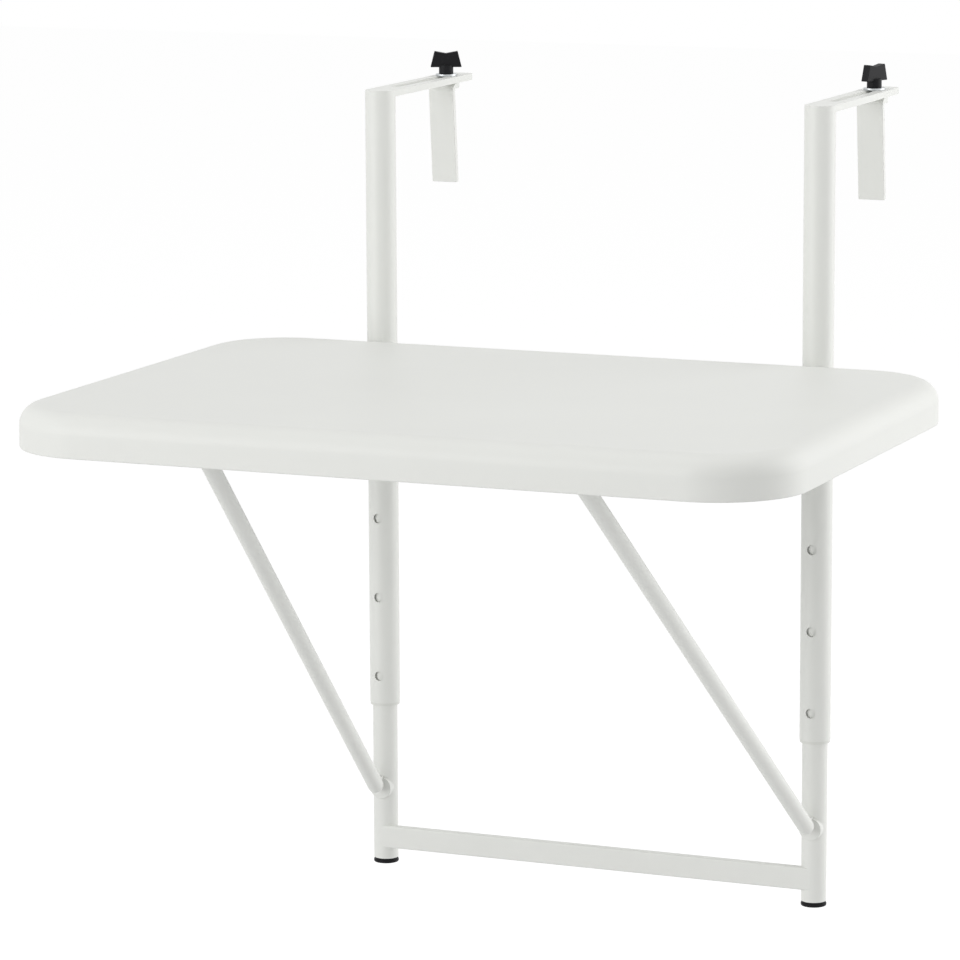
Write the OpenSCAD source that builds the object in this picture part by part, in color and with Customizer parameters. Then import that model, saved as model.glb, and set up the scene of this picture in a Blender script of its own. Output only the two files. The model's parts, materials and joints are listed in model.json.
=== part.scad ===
// Balcony table that hangs on a railing by two hooks.
// The origin is on the railing's top, midway between the posts and in the plane of their axes.
// X runs across the table, +Y towards the railing's far side, +Z up.

/* [Table top] */
// Width of the table top
top_w = 700; // [560:5:900]
// Depth of the table top
top_d = 495; // [420:5:600]
// Height of the table top from its surface to the lower edge of its skirt
top_h = 37; // [34:0.5:48]
// Radius of the table top's corners, seen from above
top_corner_r = 78; // [45:1:110]
// Radius of the rounded upper edge
top_edge_r = 18; // [10:0.5:20]
// Thickness of the moulded wall
top_wall = 4; // [3:0.5:5]
// Depth of the ribs under the surface
rib_h = 11; // [6:0.5:12]
// Thickness of a rib
rib_t = 2.5; // [1.5:0.5:3]
// Largest distance from rib to rib
rib_pitch = 62; // [45:1:100]
// Height of the railing's top above the table's surface
surface_drop = 223; // [200:1:260]

/* [Hooks] */
// Distance between the two posts' axes
post_gap = 425; // [360:1:480]
// Length of a hook's arm, from the post's axis to its end
arm_len = 190; // [150:1:240]
// Thickness of the arm
arm_t = 6; // [4:0.5:8]
// Corner radius at the arm's far end
arm_end_r = 7; // [3:0.5:12]
// Width of the slot in the arm
slot_w = 8.6; // [8.5:0.1:10]
// Distance from the post's axis to the slot's near end
slot_start = 33; // [26:1:50]
// Metal left between the slot and the arm's end
slot_margin = 13; // [8:1:20]
// Radius of the weld under the arm
weld_r = 4; // [2:0.5:6]

/* [Clamps] */
// Width of the clamp plate
clamp_w = 25; // [20:0.5:28]
// Thickness of the clamp plate
clamp_t = 5.5; // [4:0.5:7]
// Length of the clamp plate below the arm
clamp_drop = 94; // [60:1:120]
// Angle by which the clamp plate leans outwards
clamp_lean = 5; // [0:0.5:8]
// Inside radius of the clamp plate's bend
clamp_bend_r = 3; // [2:0.5:5]
// Distance from the post's axis to the clamp bolt
clamp_y = 154; // [120:1:165]
// Distance from the clamp bolt to the plate's front face
clamp_reach = 13; // [13:0.5:20]
// Diameter of the clamp bolt
bolt_d = 8; // [6:0.5:8]
// Diameter of the washer
washer_d = 20; // [17:0.5:24]
// Thickness of the washer
washer_t = 2; // [1.5:0.1:3]

/* [Knobs] */
// Diameter of the knob's neck
knob_neck_d = 13.6; // [12:0.1:16]
// Height of the knob's neck
knob_neck_h = 6.4; // [4:0.1:10]
// Width of the knob's wings at their lower edge
knob_wing_w = 29.5; // [24:0.5:36]
// Width of the knob's wings at their upper edge
knob_tip_w = 22; // [16:0.5:24]
// Height of the wings
knob_wing_h = 15; // [10:0.5:20]
// Thickness of the wings
knob_wing_t = 7.5; // [5:0.5:10]
// How far the upper edge dips in the middle
knob_dip = 2; // [0:0.5:4]
// Turn of the left knob
knob_left_turn = 24; // [-90:1:90]
// Turn of the right knob
knob_right_turn = 70; // [-90:1:90]

/* [Posts] */
// Outside diameter of a post
post_d = 28; // [26:0.5:32]
// Wall of a post
post_wall = 1.5; // [1:0.1:2]
// Diameter of the height holes
hole_d = 9; // [6:0.5:11]
// Distance from hole to hole
hole_pitch = 75; // [50:1:80]
// Distance from the lowest hole to the post's lower end
hole_end = 26; // [20:1:40]
// Number of height holes in each post
hole_count = 4; // [2:1:4]
// Height of the guide bush inside the post
bush_h = 20; // [10:1:30]
// Height of the guide bush's rim below the post
bush_rim = 2.5; // [1:0.5:5]

/* [Lower frame] */
// Outside diameter of a lower tube
leg_d = 23; // [20:0.5:24]
// Wall of a lower tube
leg_wall = 1.5; // [1:0.1:2]
// Length of the lower tube and its foot cap that shows below the post
leg_show = 155; // [140:1:230]
// Height of the feet's visible caps
cap_h = 4.5; // [3:0.5:10]
// Distance from the height screw to the upper end of its lower tube
leg_above_screw = 24; // [15:1:40]
// Height of the crossbar
bar_h = 21.5; // [18:0.5:30]
// Depth of the crossbar, front to back
bar_d = 8; // [7:0.5:16]
// Wall of the crossbar
bar_wall = 1.5; // [1:0.1:2]
// Height of the crossbar's lower edge above the feet
bar_rise = 15.5; // [10:0.5:40]
// How far the crossbar's face stands in front of the lower tubes
bar_proud = 0.5; // [0.3:0.1:3]
// Radius of the crossbar's edges
bar_r = 2; // [1:0.5:3]

/* [Stay] */
// Diameter of the stay's tubes
stay_d = 15; // [12:0.5:16]
// Wall of the stay's tubes
stay_wall = 1.5; // [1:0.1:2]
// Height of the stay's pivots above the feet
pivot_rise = 79; // [74:1:100]
// Distance from the posts' axes forward to the stay's pivots
pivot_lead = 24; // [22:0.5:30]
// Distance from the table top's front edge back to the stay's cross tube
stay_inset = 39.5; // [36:0.5:80]
// How far each leg of the stay leans inwards
stay_lean = 45; // [0:1:60]
// Length of the cross tube past each leg
stay_overhang = 13; // [10:1:20]
// Diameter of the pivot's boss
boss_d = 21; // [18:0.5:22]
// How far the boss's face stands in front of the lower tube
boss_proud = 1.5; // [1:0.1:3]
// How far the pivot lies above the boss's centre
pivot_lift = 5.5; // [0:0.5:6]
// Thickness of the lug in the stay's fork
lug_t = 5; // [3:0.5:6]
// Diameter of the pivot pin
stay_pin_d = 6; // [5:0.5:7]

/* [Hinge] */
// Distance from the posts' axes forward to the table top's hinge
hinge_lead = 40; // [40:0.5:44]
// Depth of the hinge axis below the table's surface
hinge_depth = 18; // [18:0.5:19]
// Diameter of the hinge pin
hinge_pin_d = 8; // [6:0.5:9]
// Radius of the hinge's eyes
eye_r = 8; // [7:0.5:9]
// Thickness of the hinge bracket's ears
ear_t = 3; // [2:0.5:4]
// Width of the hinge leaf's knuckle
knuckle_w = 14; // [10:0.5:16]
// Wall of the sleeve that holds the bracket on its post
sleeve_t = 2.8; // [2:0.1:4]
// Height of the sleeve
sleeve_h = 58; // [44:1:66]
// Diameter of the height screw
screw_d = 6; // [5:0.5:7]

/* [Rails] */
// Distance of the slide rails from the middle
rail_x = 120; // [80:1:135]
// Width of a slide rail
rail_w = 22; // [16:1:30]
// Height of a slide rail
rail_h = 7; // [5:0.5:8]
// Wall of a slide rail
rail_wall = 1.5; // [1:0.1:2]
// Width of the catch that stops the stay
catch_w = 28; // [20:1:36]

/* [Fits] */
// Gap round a pin that turns and round a tube that slides
run_gap = 0.06; // [0.03:0.01:0.1]
// Gap between pieces that pass each other
side_gap = 0.6; // [0.4:0.1:1]
// Gap between the stay and what it rests on
rest_gap = 0.3; // [0.2:0.05:0.4]

/* [Hidden] */
$fn = 64;

paint = "#e6e7e3";
resin = "#e2e3df";
black = "#2b2c2e";
zinc = "#b9bcbf";

left = -1;
right = 1;
over = 1;
post_x = post_gap / 2;
post_in_d = post_d - 2 * post_wall;
leg_in_d = leg_d - 2 * leg_wall;

// Levels, all from the railing's top
surface_z = -surface_drop;
deck_z = surface_z - top_wall;
rib_z = deck_z - rib_h;
rail_z = rib_z - rail_h;
hinge_z = surface_z - hinge_depth;

// Places front to back
back_y = -post_d / 2 - 1.5;
front_y = back_y - top_d;
hinge_y = -hinge_lead;
pivot_y = -pivot_lead;
bar_y = -leg_d / 2 - bar_proud;
boss_y = -leg_d / 2 - boss_proud;

// The hinge bracket's arm passes below the circle that the top's rear edge sweeps
sweep_r = hinge_lead + back_y;
ear_sweep_gap = 2.5;
ear_gap = knuckle_w + 2 * side_gap;
ear_top_z = hinge_z - sweep_r - ear_sweep_gap;
ear_h = 18;
ear_back_s = 6.5;
sleeve_r = post_d / 2 + 0.4;
sleeve_top_z = ear_top_z - 1;
sleeve_z = sleeve_top_z - sleeve_h;
notch_w = ear_gap + 2 * ear_t + 4;
notch_rise = 8;

// The height screw goes through the bracket's sleeve into the post's highest hole
screw_rise = 10;
screw_z = sleeve_z + screw_rise;
lowest_hole_z = screw_z - (hole_count - 1) * hole_pitch;
post_z = lowest_hole_z - hole_end;
bush_in_h = min(bush_h, hole_end - hole_d / 2 - 1);
foot_z = post_z - leg_show;
leg_z = foot_z + cap_h;
leg_top_z = screw_z + leg_above_screw;
pivot_z = foot_z + pivot_rise;
bar_z = foot_z + bar_rise;
glide_plug_h = 10;
glide_h = 4;
glide_wall = 2;
cap_plug_h = 14;

// The stay's cross tube rests against the rails' lower faces
cross_y = front_y + stay_inset;
cross_z = rail_z - rest_gap - stay_d / 2;
cross_x = post_x - stay_lean;
stay_tilt = atan2(pivot_y - cross_y, cross_z - pivot_z);
stay_end_trim = 2;
stay_pin_len = 2 * sqrt(pow(stay_d / 2, 2) - pow(stay_pin_d / 2 + run_gap, 2));

leaf_t = 3;
leaf_w = 44;
leaf_d = 58;
leaf_z = deck_z - leaf_t;
leaf_r = 5;
leaf_front_gap = 14;
leaf_back_gap = 2;
leaf_front_y = hinge_y - leaf_d + leaf_front_gap;
leaf_screw_d = 5;
leaf_screw_head_d = 9;
leaf_screw_head_h = 2;
leaf_screw_inset_x = 7;
leaf_screw_front = 8;
leaf_screw_back = 14;
leaf_pocket_gap = 6;

// The blade starts a little inside the bend, so that their faces cross
blade_inset = 0.05;
knob_neck_in = 2;
clamp_screw_top = arm_t + washer_t + knob_neck_h + knob_neck_in / 2;
bolt_head_h = 5;
bolt_head_d = 13;

rail_front_y = front_y + top_wall + 10;
rail_back_y = hinge_y - leaf_d;
rail_len = rail_back_y - rail_front_y;
rail_screw_d = 4;
rail_head_d = 8;
rail_head_h = 2.4;
rail_screw_inset = 14;
screw_tip_gap = 2;

// The catch stands in front of the cross tube
catch_d = 11;
catch_lip = 3;
catch_recess = 0.4;
catch_r = stay_d / 2 + rest_gap;
catch_z = cross_z - catch_lip;
catch_screw_y = cross_y - catch_r - catch_d / 2;

// Plain forms

module at(x, y, z) { translate([x, y, z]) children(); }

module tube(d, wall, h) {
    difference() {
        cylinder(d = d, h = h);
        at(0, 0, -over) cylinder(d = d - 2 * wall, h = h + 2 * over);
    }
}

// A cylinder along X, centred on the origin
module rod_x(r, len) { rotate([0, 90, 0]) cylinder(r = r, h = len, center = true); }

// A cylinder that runs from the origin towards +Y
module rod_y(r, len) { rotate([-90, 0, 0]) cylinder(r = r, h = len); }

// A flat rectangle with round corners, with its lower left corner at the origin
module soft_rect(w, h, r) {
    at(r, 0, 0) square([w - 2 * r, h]);
    at(0, r, 0) square([w, h - 2 * r]);
    for (x = [r, w - r]) for (y = [r, h - r]) at(x, y, 0) circle(r);
}

// Turns +Z to the direction from one point to another, with its foot at the first
module along(from, to) {
    d = to - from;
    translate(from) rotate([0, acos(d[2] / norm(d)), atan2(d[1], d[0])]) children();
}

// Turns a profile drawn in Y and Z into a slab of the given width across X
module across(w) { at(-w / 2, 0, 0) rotate([90, 0, 90]) linear_extrude(w) children(); }

// Table top

// Half of the slab's section: flat top, round upper edge, straight skirt; its edge is at x = 0
module edge_section(inner, h, r) {
    difference() {
        at(-inner, -h, 0) square([inner, h]);
        at(-r, -r, 0) difference() {
            square([r + over, r + over]);
            circle(r);
        }
    }
}

// A slab with round corners and a round upper edge; its surface is at z = 0
module slab(w, d, h, corner_r, r) {
    span_x = w - 2 * corner_r;
    span_y = d - 2 * corner_r;
    for (x = [-1, 1]) for (y = [-1, 1])
        at(x * span_x / 2, y * span_y / 2, 0)
            rotate_extrude() intersection() {
                at(corner_r, 0, 0) edge_section(2 * corner_r, h, r);
                at(0, -h - over, 0) square([corner_r + over, h + 2 * over]);
            }
    for (s = [0, 1]) rotate([0, 0, 180 * s]) {
        across(span_x) at(d / 2, 0, 0) edge_section(d / 2, h, r);
        rotate([0, 0, 90]) across(span_y) at(w / 2, 0, 0) edge_section(w / 2, h, r);
    }
}

function spread(from, to, pitch) =
    let (n = ceil((to - from) / pitch)) [for (i = [1 : n - 1]) from + i * (to - from) / n];

module hinge_pocket(x) {
    at(x - leaf_w / 2 - leaf_pocket_gap, hinge_y - leaf_d, deck_z - top_h)
        cube([leaf_w + 2 * leaf_pocket_gap, leaf_d + hinge_lead + back_y - top_wall, top_h]);
    at(x - notch_w / 2, hinge_y, hinge_z + notch_rise - top_h)
        cube([notch_w, hinge_lead, top_h]);
}

module ribs() {
    inner_w = top_w - 2 * top_wall;
    inner_d = top_d - 2 * top_wall;
    mid_y = (front_y + back_y) / 2;
    difference() {
        intersection() {
            union() {
                for (x = spread(-inner_w / 2, inner_w / 2, rib_pitch))
                    at(x - rib_t / 2, front_y + top_wall, rib_z) cube([rib_t, inner_d, rib_h + over]);
                for (y = spread(front_y + top_wall, back_y - top_wall, rib_pitch))
                    at(-inner_w / 2, y - rib_t / 2, rib_z) cube([inner_w, rib_t, rib_h + over]);
                for (s = [left, right]) for (y = rail_screw_places())
                    at(s * rail_x, y, rib_z) cylinder(r = rail_w / 2 - 1, h = rib_h + over);
            }
            at(0, mid_y, surface_z - over)
                slab(top_w - top_wall, top_d - top_wall, top_h, top_corner_r - top_wall / 2, top_edge_r);
        }
        for (s = [left, right]) hinge_pocket(s * post_x);
    }
}

function rail_screw_places() = [catch_screw_y, rail_back_y - rail_screw_inset];

module tabletop() {
    mid_y = (front_y + back_y) / 2;
    color(resin) difference() {
        union() {
            difference() {
                at(0, mid_y, surface_z) slab(top_w, top_d, top_h, top_corner_r, top_edge_r);
                at(0, mid_y, deck_z) slab(top_w - 2 * top_wall, top_d - 2 * top_wall, top_h,
                    top_corner_r - top_wall, top_edge_r - top_wall);
            }
            ribs();
        }
        for (s = [left, right]) {
            at(s * post_x - notch_w / 2, hinge_y, hinge_z + notch_rise - top_h)
                cube([notch_w, hinge_lead, top_h]);
            for (y = rail_screw_places())
                at(s * rail_x, y, rib_z - over) cylinder(d = rail_screw_d, h = rib_h - 1 + over);
        }
    }
}

module under_rail(s) {
    color(zinc) at(s * rail_x, rail_front_y, rail_z) difference() {
        at(0, rail_len, 0) rotate([90, 0, 0]) linear_extrude(rail_len) difference() {
            at(-rail_w / 2, 0, 0) soft_rect(rail_w, rail_h, 1);
            at(-rail_w / 2 + rail_wall, rail_wall, 0) square([rail_w - 2 * rail_wall, rail_h]);
        }
        for (y = rail_screw_places())
            at(0, y - rail_front_y, -over) cylinder(d = rail_screw_d, h = rail_wall + 2 * over);
    }
}

// The front screws hold the catches too
module rail_screws() {
    color(zinc) for (s = [left, right]) {
        at(s * rail_x, rail_screw_places()[0], 0) rail_screw(catch_z + catch_recess);
        at(s * rail_x, rail_screw_places()[1], 0) rail_screw(rail_z - rail_head_h);
    }
}

module rail_screw(head_z) {
    at(0, 0, head_z) {
        cylinder(d = rail_head_d, h = rail_head_h);
        cylinder(d = rail_screw_d, h = deck_z - screw_tip_gap - head_z);
    }
}

// The catch stands in front of the cross tube and takes its forward thrust
module stay_catch(s) {
    color(resin) at(s * rail_x, 0, 0) difference() {
        across(catch_w) at(cross_y - catch_r - catch_d, catch_z, 0)
            soft_rect(catch_r + catch_d, rail_z - catch_z, 2);
        at(0, cross_y, cross_z) rod_x(catch_r, catch_w + 2 * over);
        at(0, catch_screw_y, catch_z - over) {
            cylinder(d = rail_screw_d, h = 2 * stay_d);
            cylinder(d = rail_head_d + 0.6, h = rail_head_h + catch_recess + over);
        }
    }
}

// Leaf under the table top, with the knuckle that turns on the hinge pin
module hinge_leaf(s) {
    color(zinc) at(s * post_x, 0, 0) difference() {
        union() {
            at(-leaf_w / 2, leaf_front_y, leaf_z)
                linear_extrude(leaf_t) soft_rect(leaf_w, leaf_d - leaf_front_gap - leaf_back_gap, leaf_r);
            at(-knuckle_w / 2, hinge_y - eye_r, hinge_z)
                cube([knuckle_w, 2 * eye_r, leaf_z - hinge_z]);
            at(0, hinge_y, hinge_z) rod_x(eye_r, knuckle_w);
        }
        at(0, hinge_y, hinge_z) rod_x(hinge_pin_d / 2 + run_gap, knuckle_w + 2 * over);
        leaf_screw_holes();
    }
}

module leaf_screw_holes() {
    for (p = leaf_screw_places())
        at(p[0], p[1], leaf_z - over) cylinder(d = leaf_screw_d, h = leaf_t + 2 * over);
}

function leaf_screw_places() =
    [for (x = [-1, 1]) for (y = [leaf_front_y + leaf_screw_front, hinge_y - leaf_screw_back])
        [x * (leaf_w / 2 - leaf_screw_inset_x), y]];

module leaf_screws() {
    color(zinc) for (s = [left, right]) for (p = leaf_screw_places())
        at(s * post_x + p[0], p[1], leaf_z) {
            cylinder(d = leaf_screw_d, h = leaf_t);
            at(0, 0, -leaf_screw_head_h) cylinder(d = leaf_screw_head_d, h = leaf_screw_head_h);
        }
}

// Hooks

module post(s) {
    color(paint) at(s * post_x, 0, post_z) difference() {
        tube(post_d, post_wall, -post_z);
        for (i = [0 : hole_count - 1])
            at(0, -post_d, hole_end + i * hole_pitch) rod_y(hole_d / 2, post_d);
    }
}

module arm(s) {
    slot_end = arm_len - slot_margin;
    color(paint) at(s * post_x, 0, 0) {
        difference() {
            linear_extrude(arm_t) {
                circle(d = post_d);
                at(-post_d / 2, 0, 0) square([post_d, arm_len - arm_end_r]);
                at(-post_d / 2, arm_len / 2, 0) soft_rect(post_d, arm_len / 2, arm_end_r);
            }
            at(0, 0, -over) linear_extrude(arm_t + 2 * over) {
                for (y = [slot_start + slot_w / 2, slot_end - slot_w / 2]) at(0, y, 0) circle(d = slot_w);
                at(-slot_w / 2, slot_start + slot_w / 2, 0) square([slot_w, slot_end - slot_start - slot_w]);
            }
        }
        difference() {
            across(post_d / 2) difference() {
                at(0, -weld_r, 0) square([post_d / 2 + weld_r, weld_r]);
                at(post_d / 2 + weld_r, -weld_r, 0) circle(weld_r);
            }
            at(0, 0, -2 * weld_r) cylinder(d = post_d, h = 3 * weld_r);
        }
    }
}

module guide_bush(s) {
    color(resin) at(s * post_x, 0, post_z) difference() {
        union() {
            cylinder(d = post_in_d, h = bush_in_h);
            at(0, 0, -bush_rim) cylinder(d = post_d - 0.6, h = bush_rim);
        }
        at(0, 0, -bush_rim - over) cylinder(r = leg_d / 2 + run_gap, h = bush_in_h + bush_rim + 2 * over);
    }
}

// Clamps

// The plate's section: flange, bend and leaning blade, with the bend's centre at the origin
module clamp_section(flange, blade, out_r, in_r) {
    difference() {
        union() {
            circle(out_r);
            square([flange, out_r]);
            rotate(clamp_lean) at(-out_r + blade_inset, -blade, 0) square([out_r - blade_inset, blade]);
        }
        circle(in_r);
        at(0, -over, 0) square([flange + over, in_r + over]);
        rotate(clamp_lean) at(-in_r + blade_inset, -blade - over, 0)
            square([in_r + out_r + over, blade + over]);
    }
}

module clamp_plate(s) {
    out_r = clamp_bend_r + clamp_t;
    color(paint) at(s * post_x, clamp_y, 0) difference() {
        across(clamp_w) at(out_r - clamp_reach, -out_r, 0)
            clamp_section(clamp_reach - out_r + clamp_w / 2, clamp_drop - out_r, out_r, clamp_bend_r);
        at(0, 0, -clamp_t - over) linear_extrude(clamp_t + 2 * over) {
            circle(d = bolt_d);
            difference() {
                at(-clamp_w, 0, 0) square([2 * clamp_w, clamp_w]);
                circle(d = clamp_w);
            }
        }
    }
}

module clamp_bolt(s) {
    color(zinc) at(s * post_x, clamp_y, -clamp_t) {
        cylinder(d = bolt_d, h = clamp_t + clamp_screw_top);
        at(0, 0, -bolt_head_h) cylinder(d = bolt_head_d, h = bolt_head_h, $fn = 6);
    }
}

module washer(s) {
    color(zinc) at(s * post_x, clamp_y, arm_t) difference() {
        cylinder(d = washer_d, h = washer_t);
        at(0, 0, -over) cylinder(d = bolt_d, h = washer_t + 2 * over);
    }
}

module knob(s, turn) {
    half = knob_wing_w / 2;
    tip = knob_tip_w / 2;
    color(black) at(s * post_x, clamp_y, arm_t + washer_t) rotate([0, 0, turn]) difference() {
        union() {
            cylinder(d = knob_neck_d, h = knob_neck_h + knob_neck_in);
            at(0, knob_wing_t / 2, knob_neck_h) rotate([90, 0, 0]) linear_extrude(knob_wing_t)
                polygon([[-half, 0], [half, 0], [tip, knob_wing_h], [0, knob_wing_h - knob_dip],
                    [-tip, knob_wing_h]]);
        }
        at(0, 0, -over) cylinder(r = bolt_d / 2 + run_gap, h = clamp_screw_top - arm_t - washer_t + over + 0.3);
    }
}

// Lower frame

module lower_tube(s) {
    color(paint) at(s * post_x, 0, leg_z) difference() {
        tube(leg_d, leg_wall, leg_top_z - leg_z);
        at(0, -leg_d, screw_z - leg_z) rod_y(screw_d / 2, leg_d);
    }
}

// Ring on the lower tube's upper end that glides inside the post
module top_glide(s) {
    color(resin) at(s * post_x, 0, leg_top_z) difference() {
        union() {
            at(0, 0, -glide_plug_h) cylinder(d = leg_in_d, h = glide_plug_h);
            cylinder(r = post_in_d / 2 - run_gap, h = glide_h);
        }
        at(0, 0, -glide_plug_h - over)
            cylinder(d = leg_in_d - 2 * glide_wall, h = glide_plug_h + glide_h + 2 * over);
    }
}

module foot_cap(s) {
    color(black) at(s * post_x, 0, foot_z) {
        cylinder(d1 = leg_d - 1.6, d2 = leg_d + 0.4, h = 1);
        at(0, 0, 1) cylinder(d = leg_d + 0.4, h = cap_h - 1);
        at(0, 0, cap_h) cylinder(d = leg_in_d, h = cap_plug_h);
    }
}

module crossbar() {
    len = post_gap + 2;
    color(paint) difference() {
        at(0, bar_y, bar_z) across(len) difference() {
            soft_rect(bar_d, bar_h, bar_r);
            at(bar_wall, bar_wall, 0) soft_rect(bar_d - 2 * bar_wall, bar_h - 2 * bar_wall, 1);
        }
        for (s = [left, right])
            at(s * post_x, 0, bar_z - over) {
                cylinder(d = leg_d, h = bar_h + 2 * over);
                at(s > 0 ? 0 : -leg_d, 0, 0) cube([leg_d, leg_d, bar_h + 2 * over]);
            }
    }
}

// Round boss on the lower tube, with the lug that the stay's fork turns on
module stay_boss(s) {
    lug_r = stay_d / 2 - 1.5;
    color(paint) at(s * post_x, 0, pivot_z) difference() {
        union() {
            at(0, boss_y, -pivot_lift) rod_y(boss_d / 2, -boss_y);
            at(-lug_t / 2, pivot_y, -lug_r) cube([lug_t, -pivot_y, 2 * lug_r]);
            at(0, pivot_y, 0) rod_x(lug_r, lug_t);
        }
        at(0, 0, -2 * boss_d) cylinder(d = leg_d, h = 4 * boss_d);
        at(0, pivot_y, 0) rod_x(stay_pin_d / 2, lug_t + 2 * over);
    }
}

// The pin is pressed into the lug; its ends are flush with the ball-shaped end that turns on it
module stay_pin(s) {
    color(paint) at(s * post_x, pivot_y, pivot_z) rod_x(stay_pin_d / 2, stay_pin_len);
}

// Sleeve round the post's front with two ears that reach the hinge from below
module hinge_bracket(s) {
    arm_r = 6;
    front_s = eye_r;
    color(paint) at(s * post_x, 0, 0) difference() {
        union() {
            at(0, 0, sleeve_z) difference() {
                cylinder(r = sleeve_r + sleeve_t, h = sleeve_h);
                at(-post_d, 0, -over) cube([2 * post_d, post_d, sleeve_h + 2 * over]);
            }
            for (e = [-1, 1]) at(e * (ear_gap + ear_t) / 2, 0, 0) across(ear_t) {
                at(hinge_y, hinge_z, 0) circle(eye_r);
                at(hinge_y - front_s, ear_top_z - ear_h + arm_r, 0)
                    square([front_s + ear_back_s, hinge_z - ear_top_z + ear_h - arm_r]);
                at(hinge_y - front_s, ear_top_z - ear_h, 0) soft_rect(hinge_lead + front_s, ear_h, arm_r);
                at(hinge_y / 2, ear_top_z - ear_h, 0) square([-hinge_y / 2, ear_h - 1]);
            }
            at(0, -sleeve_r - sleeve_t - 3, screw_z) rod_y(7, sleeve_t + 4);
        }
        at(0, 0, sleeve_z - over) cylinder(r = sleeve_r, h = sleeve_h + ear_h + 2 * over);
        at(0, hinge_y, hinge_z) rod_x(hinge_pin_d / 2, ear_gap + 4 * ear_t);
        at(0, -post_d, screw_z) rod_y(screw_d / 2, post_d);
    }
}

module hinge_pin(s) {
    half = ear_gap / 2 + ear_t;
    color(zinc) at(s * post_x, hinge_y, hinge_z) {
        rod_x(hinge_pin_d / 2, 2 * half);
        at(s * (half + 1.5), 0, 0) rod_x(hinge_pin_d / 2 + 2, 3);
        at(-s * (half + 1), 0, 0) rod_x(hinge_pin_d / 2 + 1, 2);
    }
}

// The screw's tip ends in the sleeve, so that the frame can slide on the posts
module height_screw(s) {
    head_h = 5;
    boss_face = sleeve_r + sleeve_t + 3;
    color(zinc) at(s * post_x, -boss_face, screw_z) {
        rod_y(screw_d / 2, boss_face - sleeve_r - 0.2);
        at(0, -head_h, 0) difference() {
            rod_y(screw_d * 0.85, head_h);
            at(0, -over, 0) rotate([-90, 0, 0]) cylinder(d = screw_d * 0.8, h = over + 3, $fn = 6);
        }
    }
}

// Stay

function pivot(s) = [s * post_x, pivot_y, pivot_z];
function corner(s) = [s * cross_x, cross_y, cross_z];

module stay_leg(s) {
    len = norm(corner(s) - pivot(s));
    plug = 24;
    slot = stay_d / 2 + 2;
    color(paint) difference() {
        union() {
            along(pivot(s), corner(s)) cylinder(d = stay_d, h = len - stay_end_trim);
            translate(pivot(s)) sphere(d = stay_d);
        }
        along(pivot(s), corner(s)) at(0, 0, plug) cylinder(d = stay_d - 2 * stay_wall, h = len - plug);
        translate(corner(s)) rod_x(stay_d / 2, 6 * stay_d);
        translate(pivot(s)) {
            rotate([stay_tilt, 0, 0])
                at(-lug_t / 2 - side_gap, -stay_d, -stay_d) cube([lug_t + 2 * side_gap, 2 * stay_d, stay_d + slot]);
            rod_x(stay_pin_d / 2 + run_gap, 2 * stay_d);
        }
    }
}

module stay_cross_tube() {
    color(paint) at(0, cross_y, cross_z) difference() {
        rod_x(stay_d / 2, 2 * (cross_x + stay_overhang));
        rod_x(stay_d / 2 - stay_wall, 2 * (cross_x + stay_overhang) + 2 * over);
    }
}

module stay_plug(s) {
    color(resin) at(s * (cross_x + stay_overhang), cross_y, cross_z) {
        at(s * 1, 0, 0) rod_x(stay_d / 2, 2);
        at(-s * 5, 0, 0) rod_x(stay_d / 2 - stay_wall, 10);
    }
}

post(left);  // post_left
post(right);  // post_right
arm(left);  // arm_left
arm(right);  // arm_right
guide_bush(left);  // guide_bush_left
guide_bush(right);  // guide_bush_right
lower_tube(left);  // lower_tube_left
lower_tube(right);  // lower_tube_right
top_glide(left);  // top_glide_left
top_glide(right);  // top_glide_right
crossbar();
foot_cap(left);  // foot_cap_left
foot_cap(right);  // foot_cap_right
stay_boss(left);  // stay_boss_left
stay_boss(right);  // stay_boss_right
stay_pin(left);  // stay_pin_left
stay_pin(right);  // stay_pin_right
hinge_bracket(left);  // hinge_bracket_left
hinge_bracket(right);  // hinge_bracket_right
hinge_pin(left);  // hinge_pin_left
hinge_pin(right);  // hinge_pin_right
height_screw(left);  // height_screw_left
height_screw(right);  // height_screw_right
tabletop();
under_rail(left);  // under_rail_left
under_rail(right);  // under_rail_right
hinge_leaf(left);  // hinge_leaf_left
hinge_leaf(right);  // hinge_leaf_right
stay_catch(left);  // stay_catch_left
stay_catch(right);  // stay_catch_right
leaf_screws();
rail_screws();
stay_leg(left);  // stay_leg_left
stay_leg(right);  // stay_leg_right
stay_cross_tube();
stay_plug(left);  // stay_plug_left
stay_plug(right);  // stay_plug_right
clamp_plate(left);  // clamp_plate_left
clamp_plate(right);  // clamp_plate_right
clamp_bolt(left);  // clamp_bolt_left
clamp_bolt(right);  // clamp_bolt_right
washer(left);  // washer_left
washer(right);  // washer_right
knob(left, knob_left_turn);  // knob_left
knob(right, knob_right_turn);  // knob_right
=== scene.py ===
"""A small table that hangs on a balcony railing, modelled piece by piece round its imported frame."""

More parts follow.
